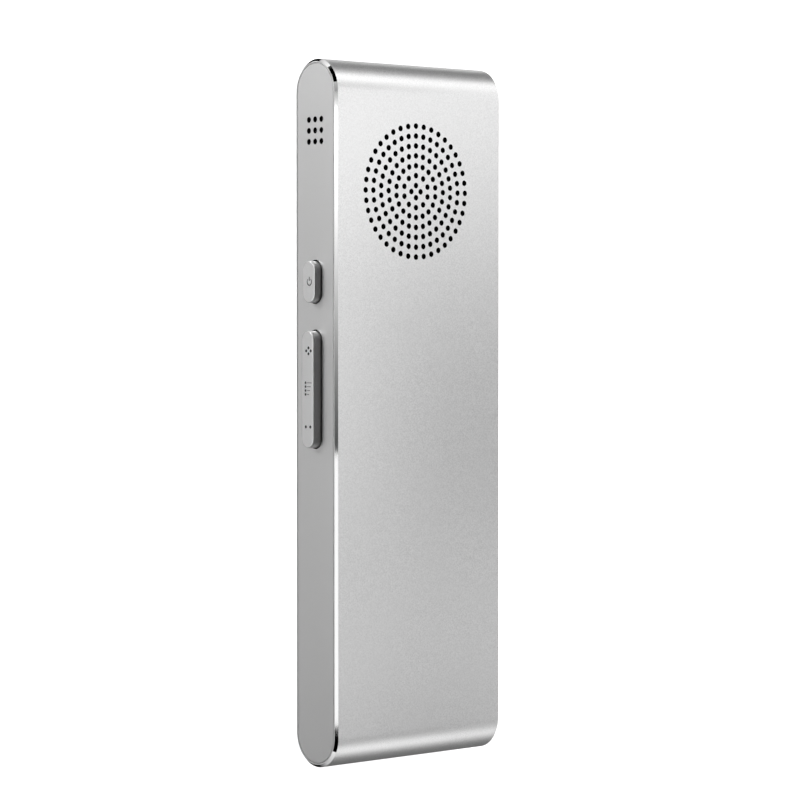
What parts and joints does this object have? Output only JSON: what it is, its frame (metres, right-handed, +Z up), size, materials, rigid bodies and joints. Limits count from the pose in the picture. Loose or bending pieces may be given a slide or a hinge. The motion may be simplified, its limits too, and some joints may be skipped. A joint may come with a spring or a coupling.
{
  "type": "handheld voice recorder",
  "caption": "Slim handheld voice recorder with a round-ended aluminium sleeve, inset side plates, side keys, a drilled loudspeaker grille, a microphone, a display and front keys.",
  "frame": {"origin": "middle of the flat display side that the recorder lies on, half way across and half way along the sleeve", "axes": "+X across the body from the key edge to the socket edge, +Y along the body towards the microphone and loudspeaker end, +Z up out of the loudspeaker side"},
  "size_m": [0.0418, 0.129, 0.012],
  "materials": {
    "housing": "fine bead-blasted, clear anodised, with a mirror-polished chamfer",
    "side_plate": "satin anodised",
    "key_metal": "satin anodised with a bright edge",
    "steel": "plain machined steel",
    "display_glass": "polished, black printed behind",
    "display_panel": "glossy dark panel",
    "black_plastic": "moulded, fine grain",
    "chassis_plastic": "glass-filled, matte",
    "board": "solder mask, semi-gloss",
    "soft_rubber": "soft matte rubber",
    "speaker_cone": "pressed matte film",
    "acoustic_cloth": "fine black woven mesh",
    "battery_foil": "soft foil pouch",
    "flex_film": "amber polyimide film",
    "wire_red": "insulated wire",
    "wire_black": "insulated wire"
  },
  "bodies": {
    "recorder_body": {"sleeve_housing": "housing", "left_side_plate": "side_plate", "right_side_plate": "side_plate", "plate_screw_upper": "steel", "plate_screw_lower": "steel", "rocker_pin": "steel", "rocker_bracket": "steel", "side_key_board": "board", "power_switch": "black_plastic", "volume_up_switch": "black_plastic", "volume_down_switch": "black_plastic", "display_window": "display_glass", "display_gasket": "soft_rubber", "lcd_panel": "display_panel", "display_flex": "flex_film", "display_connector": "black_plastic", "record_switch": "black_plastic", "play_switch": "black_plastic", "menu_switch": "black_plastic", "stop_switch": "black_plastic", "chassis": "chassis_plastic", "main_board": "board", "board_screw_upper_left": "steel", "board_screw_upper_right": "steel", "board_screw_lower_left": "steel", "board_screw_lower_right": "steel", "processor_shield": "steel", "flash_memory": "black_plastic", "usb_shell": "steel", "usb_tongue": "black_plastic", "headphone_jack": "black_plastic", "mic_mesh": "acoustic_cloth", "mic_boot": "soft_rubber", "mic_capsule": "steel", "mic_cable": "wire_black", "speaker_frame": "chassis_plastic", "speaker_cone": "speaker_cone", "speaker_magnet": "steel", "speaker_gasket": "soft_rubber", "speaker_cloth": "acoustic_cloth", "speaker_wire_positive": "wire_red", "speaker_wire_negative": "wire_black", "battery": "battery_foil", "battery_pad": "soft_rubber", "battery_connector": "black_plastic", "battery_wire_positive": "wire_red", "battery_wire_negative": "wire_black"},
    "power_button_body": {"power_button": "key_metal"},
    "volume_rocker_body": {"volume_rocker": "key_metal"},
    "record_key_body": {"record_key": "key_metal"},
    "play_key_body": {"play_key": "key_metal"},
    "menu_key_body": {"menu_key": "key_metal"},
    "stop_key_body": {"stop_key": "key_metal"}
  },
  "joints": [
    {"name": "power_button_press", "type": "slide", "parent": "recorder_body", "child": "power_button_body", "axis": [1, 0, 0], "range_m": [0, 0.00025], "stiffness_N_per_m": 400},
    {"name": "volume_rocker_tilt", "type": "hinge", "parent": "recorder_body", "child": "volume_rocker_body", "pos_m": [-0.017, 0.00455, 0.006], "axis": [0, 0, 1], "range_deg": [-1.2, 1.2], "stiffness_Nm_per_rad": 0.1},
    {"name": "record_key_press", "type": "slide", "parent": "recorder_body", "child": "record_key_body", "axis": [0, 0, 1], "range_m": [0, 0.00025], "stiffness_N_per_m": 400},
    {"name": "play_key_press", "type": "slide", "parent": "recorder_body", "child": "play_key_body", "axis": [0, 0, 1], "range_m": [0, 0.00025], "stiffness_N_per_m": 400},
    {"name": "menu_key_press", "type": "slide", "parent": "recorder_body", "child": "menu_key_body", "axis": [0, 0, 1], "range_m": [0, 0.00025], "stiffness_N_per_m": 400},
    {"name": "stop_key_press", "type": "slide", "parent": "recorder_body", "child": "stop_key_body", "axis": [0, 0, 1], "range_m": [0, 0.00025], "stiffness_N_per_m": 400}
  ]
}
